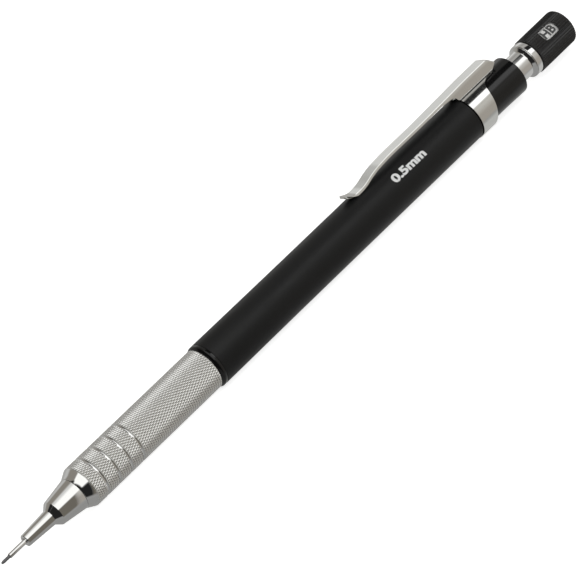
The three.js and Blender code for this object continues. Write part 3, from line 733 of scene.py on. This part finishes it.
def make_push_tube():
    turned_piece("plunger_tube_visual", [
        (112, 1.96), (112, PLUNGER_RADIUS), (132.4, PLUNGER_RADIUS, 0.12), (132.85, 3.2, 0.05),
        (132.95, 3.2, 0.03), (132.95, 2.3, 0.05), (138, 2.3, 0.1), (138, 1.96, 0.05),
    ], "chrome", "pusher", "plunger_tube")
    turned_piece("eraser_visual", [
        (128.5, 0), (128.5, 1.88), (140.2, 1.88, 0.35), (140.2, 0),
    ], "eraser_white", "pusher", "eraser", sides=96)


# ---- cap ----
def window_block(name, clearance):
    """A rounded block standing on the cap's side where the window is, from inside the wall to above it."""
    x, y = WINDOW_LENGTH / 2 - clearance, WINDOW_WIDTH / 2 - clearance
    corner = WINDOW_CORNER - clearance
    steps = 8
    outline = []
    for k, (u, v) in enumerate(((1, 1), (-1, 1), (-1, -1), (1, -1))):
        for i in range(steps + 1):
            bend = (k + i / steps) * math.pi / 2
            outline.append((u * (x - corner) + corner * math.cos(bend),
                            v * (y - corner) + corner * math.sin(bend)))
    across = Vector((0, math.cos(WINDOW_ANGLE), math.sin(WINDOW_ANGLE)))
    out = Vector((0, -math.sin(WINDOW_ANGLE), math.cos(WINDOW_ANGLE)))
    bm = bmesh.new()

    def ring(height):
        places = [Vector((at(WINDOW_STATION + along), 0, AXIS_Z)) + (across * up + out * height) * MM
                  for along, up in outline]
        return [bm.verts.new(place) for place in places]

    foot, top = ring(BLOCK_FOOT), ring(BLOCK_TOP)
    for k in range(len(outline)):
        after = (k + 1) % len(outline)
        bm.faces.new((foot[k], foot[after], top[after], top[k]))
    bm.faces.new(foot[::-1])
    bm.faces.new(top)
    bmesh.ops.recalc_face_normals(bm, faces=bm.faces)
    return new_object(name, new_mesh(name, bm))


def cut(base_bm, cutter, operation):
    """The bmesh cut or kept by the cutter object, as a new bmesh. The cutter is removed."""
    base = new_object("cut_base", new_mesh("cut_base", base_bm))
    tool = base.modifiers.new("cut", "BOOLEAN")
    tool.operation = operation
    tool.solver = "EXACT"
    tool.object = cutter
    bm = bmesh.new()
    bm.from_mesh(applied(base))
    bpy.data.objects.remove(cutter)
    return bm


def cap_outline():
    """The cap's profile, from its front edge over the crown and back through the bore, as (station, radius,
    share of the ribs' depth)."""
    rib_front, side_end = CAP_FRONT + RIB_START, CAP_END - CAP_CROWN - CAP_EDGE
    outline = [(CAP_FRONT, CAP_RADIUS - CAP_CHAMFER, 0), (CAP_FRONT + CAP_CHAMFER, CAP_RADIUS, 0.2),
               (rib_front, CAP_RADIUS, 1)]
    outline += [(rib_front + (side_end - rib_front) * t, CAP_RADIUS, 1) for t in shares(11)]
    for t in shares(8):
        bend = t * math.pi / 2
        outline.append((side_end + CAP_EDGE * math.sin(bend),
                        CAP_RADIUS - CAP_EDGE * (1 - math.cos(bend)), 1 - t))
    for t in shares(4):
        outline.append((CAP_END - CAP_CROWN * (1 - math.sin(t * math.pi / 2)),
                        (CAP_RADIUS - CAP_EDGE) * (1 - 0.5 * t), 0))
    return outline + [(CAP_END, 0, 0), (CAP_FLOOR, 0, 0), (CAP_FLOOR, CAP_BORE, 0), (CAP_FRONT, CAP_BORE, 0)]


def ribbed_cap():
    """The cap as a closed shell whose side carries fine ribs that fade out over the rounded crown."""
    valleys = [(0.5 - 0.5 * math.cos(2 * math.pi * k / RIB_SIDES)) ** RIB_ROUNDNESS
               for k in range(RIBS * RIB_SIDES)]
    bm = bmesh.new()
    close_rings(bm, [add_ring(bm, station, [radius - RIB_DEPTH * share * valley for valley in valleys])
                     for station, radius, share in cap_outline()])
    bmesh.ops.recalc_face_normals(bm, faces=bm.faces)
    return bm


def make_cap():
    shell = cut(ribbed_cap(), window_block("window_cutter", 0), "DIFFERENCE")
    piece("cap_shell_visual", shell, "black_plastic", "cap", "cap_shell", smooth=40, material=CAP_BLACK)
    wall = bmesh.new()
    turn(wall, tube_profile(WINDOW_STATION - LENS_REACH, WINDOW_STATION + LENS_REACH, LENS_RADIUS, LENS_BORE))
    bmesh.ops.recalc_face_normals(wall, faces=wall.faces)
    lens = cut(wall, window_block("lens_cutter", LENS_GAP), "INTERSECT")
    piece("window_lens_visual", lens, "clear_plastic", "cap", "window_lens", smooth=40)
    turned_piece("rim_ring_visual", [
        (133.0, 2.4), (133.0, 3.23, 0.1), (134.25, 3.23, 0.1), (134.25, 2.4),
    ], "chrome", "grade_ring", "rim_ring")
    turned_piece("grade_drum_visual", tube_profile(134.35, 141.5, DRUM_RADIUS, 2.4), "white_plastic",
                 "grade_ring", "grade_drum")
    for i, grade in enumerate(GRADES):
        angle = WINDOW_ANGLE + i * 2 * math.pi / len(GRADES)
        lettering(f"grade_mark_{i + 1}", grade, GRADE_HEIGHT, WINDOW_STATION, DRUM_RADIUS + DRUM_INK_LIFT,
                  angle, "grade_ring", "gloss_black", BLACK_INK, spread=0.09)


# ---- stage, camera and light ----
# The pencil as the photo shows it: its tilt toward the viewer, its roll in the picture, and how far its clip
# turns toward the viewer. The camera has the aim's station of the axis at an offset from its line of sight.
VIEW_TILT = math.radians(26.2)
VIEW_ROLL = math.radians(43.85)
CLIP_TURN = math.radians(27.5)
CAMERA_DISTANCE = 750
AIM_STATION = 79.67
AIM_OFFSET = (6.093, 5.734)
LENS, SENSOR = 281.25, 36
NEAREST, FARTHEST = 0.05, 20
TABLE_HALF = 3


def view_axes():
    """The turn from the row frame to the camera: its columns are the pencil's axes as the camera sees them."""
    along = Vector((math.cos(VIEW_TILT) * math.cos(VIEW_ROLL), math.cos(VIEW_TILT) * math.sin(VIEW_ROLL),
                    -math.sin(VIEW_TILT)))
    toward = Vector((math.sin(VIEW_TILT) * math.cos(VIEW_ROLL), math.sin(VIEW_TILT) * math.sin(VIEW_ROLL),
                     math.cos(VIEW_TILT)))
    up_left = Vector((-math.sin(VIEW_ROLL), math.cos(VIEW_ROLL), 0))
    clip = up_left * math.cos(CLIP_TURN) + toward * math.sin(CLIP_TURN)
    return Matrix((along, clip.cross(along), clip)).transposed()


def make_camera():
    """The camera at the photo's angle. Returns the turn from the camera to the row frame."""
    to_world = view_axes().transposed()
    seen = Vector((*AIM_OFFSET, -CAMERA_DISTANCE)) * MM
    camera_data = bpy.data.cameras.new("camera")
    camera_data.lens = LENS
    camera_data.sensor_width = SENSOR
    camera_data.clip_start = NEAREST
    camera_data.clip_end = FARTHEST
    camera = new_object("camera", camera_data)
    place = Vector((at(AIM_STATION), 0, AXIS_Z)) - to_world @ seen
    camera.matrix_world = Matrix.Translation(place) @ to_world.to_4x4()
    bpy.context.scene.camera = camera
    return to_world


def make_floor():
    """The pale table top. Its glow is for direct view only, so it looks white but doesn't light the pencil."""
    bm = bmesh.new()
    bmesh.ops.create_grid(bm, x_segments=8, y_segments=8, size=TABLE_HALF)
    mesh = new_mesh("table_top", bm)
    floor = new_object("table_top", mesh)
    made, tree, shader = new_material("pale_table")
    shader.inputs["Base Color"].default_value = (0.8, 0.8, 0.8, 1)
    shader.inputs["Roughness"].default_value = 0.9
    shader.inputs["Specular IOR Level"].default_value = 0.1
    shader.inputs["Emission Color"].default_value = (1, 1, 1, 1)
    path = tree.nodes.new("ShaderNodeLightPath")
    glow = remap(tree, path.outputs["Is Camera Ray"], 0, 1, 0.0, 0.8)
    tree.links.new(glow, shader.inputs["Emission Strength"])
    mesh.materials.append(made)
    floor.visible_glossy = False


# The studio round the pencil, one soft-edged panel a line, later ones in front of earlier ones: the part of
# its direction that runs along the pencil (from, to), its angle in degrees round the pencil from the viewer
# toward the clip (from, to), the softness of both, and its colour.
STUDIO = [
    ((-2.0, 2.0), (-190, -85), 0.05, 8, (0.34, 0.34, 0.335)),
    ((0.38, 0.66), (-190, -85), 0.03, 8, (0.58, 0.58, 0.57)),
    ((-0.32, 0.25), (-75, -5), 0.03, 6, (0.18, 0.165, 0.14)),
    ((0.25, 2.0), (-75, -20), 0.03, 6, (0.44, 0.41, 0.37)),
    ((0.25, 2.0), (-25, 8), 0.03, 14, (0.64, 0.62, 0.58)),
    ((-2.0, 0.38), (60, 190), 0.04, 10, (0.30, 0.28, 0.25)),
    ((-2.0, 0.38), (130, 190), 0.04, 22, (0.50, 0.50, 0.49)),
    ((0.38, 2.0), (60, 190), 0.03, 6, (0.48, 0.47, 0.45)),
    ((-0.25, 0.38), (112, 138), 0.04, 6, (0.60, 0.60, 0.59)),
    ((0.38, 0.95), (114, 136), 0.03, 4, (0.78, 0.78, 0.77)),
    ((0.38, 2.0), (86, 96), 0.03, 4, (0.36, 0.35, 0.34)),
    ((-0.72, 0.37), (-3, 61), 0.02, 3, (1.3, 1.3, 1.28)),
    ((0.0, 0.37), (46, 66), 0.04, 8, (0.8, 0.8, 0.79)),
    ((0.37, 0.72), (6, 34), 0.02, 4, (1.7, 1.7, 1.7)),
    ((0.37, 0.72), (34, 64), 0.02, 2, (0.02, 0.02, 0.02)),
    ((-2.0, -0.55), (58, 112), 0.03, 5, (0.02, 0.02, 0.02)),
    ((-2.0, -0.66), (-70, 62), 0.03, 5, (0.02, 0.02, 0.02)),
    ((-2.0, -0.30), (-75, -5), 0.05, 5, (0.02, 0.02, 0.02)),
]
STUDIO_WALL = (0.38, 0.38, 0.375)


def math_node(tree, operation, a, b):
    made = tree.nodes.new("ShaderNodeMath")
    made.operation = operation
    tree.links.new(a, made.inputs[0])
    tree.links.new(b, made.inputs[1])
    return made.outputs["Value"]


def dot(tree, vector, direction):
    made = tree.nodes.new("ShaderNodeVectorMath")
    made.operation = "DOT_PRODUCT"
    made.inputs[1].default_value = direction
    tree.links.new(vector, made.inputs[0])
    return made.outputs["Value"]


def soft_band(tree, value, low, high, soft):
    """1 from low to high and 0 outside, with edges that fade over the softness."""
    return math_node(tree, "MULTIPLY", remap(tree, value, low - soft, low + soft, 0, 1),
                     remap(tree, value, high - soft, high + soft, 1, 0))


def make_studio(to_world):
    """The world: soft panels placed by their angle round the pencil's axis and their lean along it."""
    toward = Vector((0, *((to_world @ Vector((0, 0, 1)))[1:]))).normalized()
    up_left = Vector((1, 0, 0)).cross(toward)
    if (view_axes() @ up_left).y < 0:
        up_left = -up_left
    world = bpy.data.worlds.new("studio")
    world.use_nodes = True
    bpy.context.scene.world = world
    tree = world.node_tree
    source = tree.nodes.new("ShaderNodeTexCoord").outputs["Generated"]
    along = dot(tree, source, (1, 0, 0))
    angle = math_node(tree, "ARCTAN2", dot(tree, source, up_left), dot(tree, source, toward))
    colour = None
    for (x0, x1), (angle0, angle1), soft_x, soft_angle, shade in STUDIO:
        lean = soft_band(tree, along, x0, x1, soft_x)
        turned = soft_band(tree, angle, *(math.radians(a) for a in (angle0, angle1, soft_angle)))
        panel = tree.nodes.new("ShaderNodeMix")
        panel.data_type = "RGBA"
        panel.inputs["A"].default_value = (*STUDIO_WALL, 1)
        panel.inputs["B"].default_value = (*shade, 1)
        tree.links.new(math_node(tree, "MULTIPLY", lean, turned), panel.inputs["Factor"])
        if colour:
            tree.links.new(colour, panel.inputs["A"])
        colour = panel.outputs["Result"]
    tree.links.new(colour, tree.nodes["Background"].inputs["Color"])


def dress_cad_pieces():
    """The CAD pieces that stay visible get the material of their slot."""
    for name, node in frame["nodes"].items():
        if not node.hide_render:
            slot_name = next(s["material_slot"] for s in frame["record"]["subparts"] if s["node"] == name)
            node.data.materials.clear()
            node.data.materials.append(MATERIALS[slot_name])


make_front()
make_grip()
make_barrel()
lettering("lead_size_print", "0.5mm", SIZE_HEIGHT, SIZE_STATION, BARREL_RADIUS + INK_HALF, SIZE_ANGLE,
          "body", "white_plastic", INK, spread=0.1, widen=1.4)
make_clip()
make_inside()
make_spring()
make_push_tube()
make_cap()
dress_cad_pieces()
turn_to_world = make_camera()
make_floor()
make_studio(turn_to_world)
bpy.context.scene.view_settings.view_transform = "Standard"
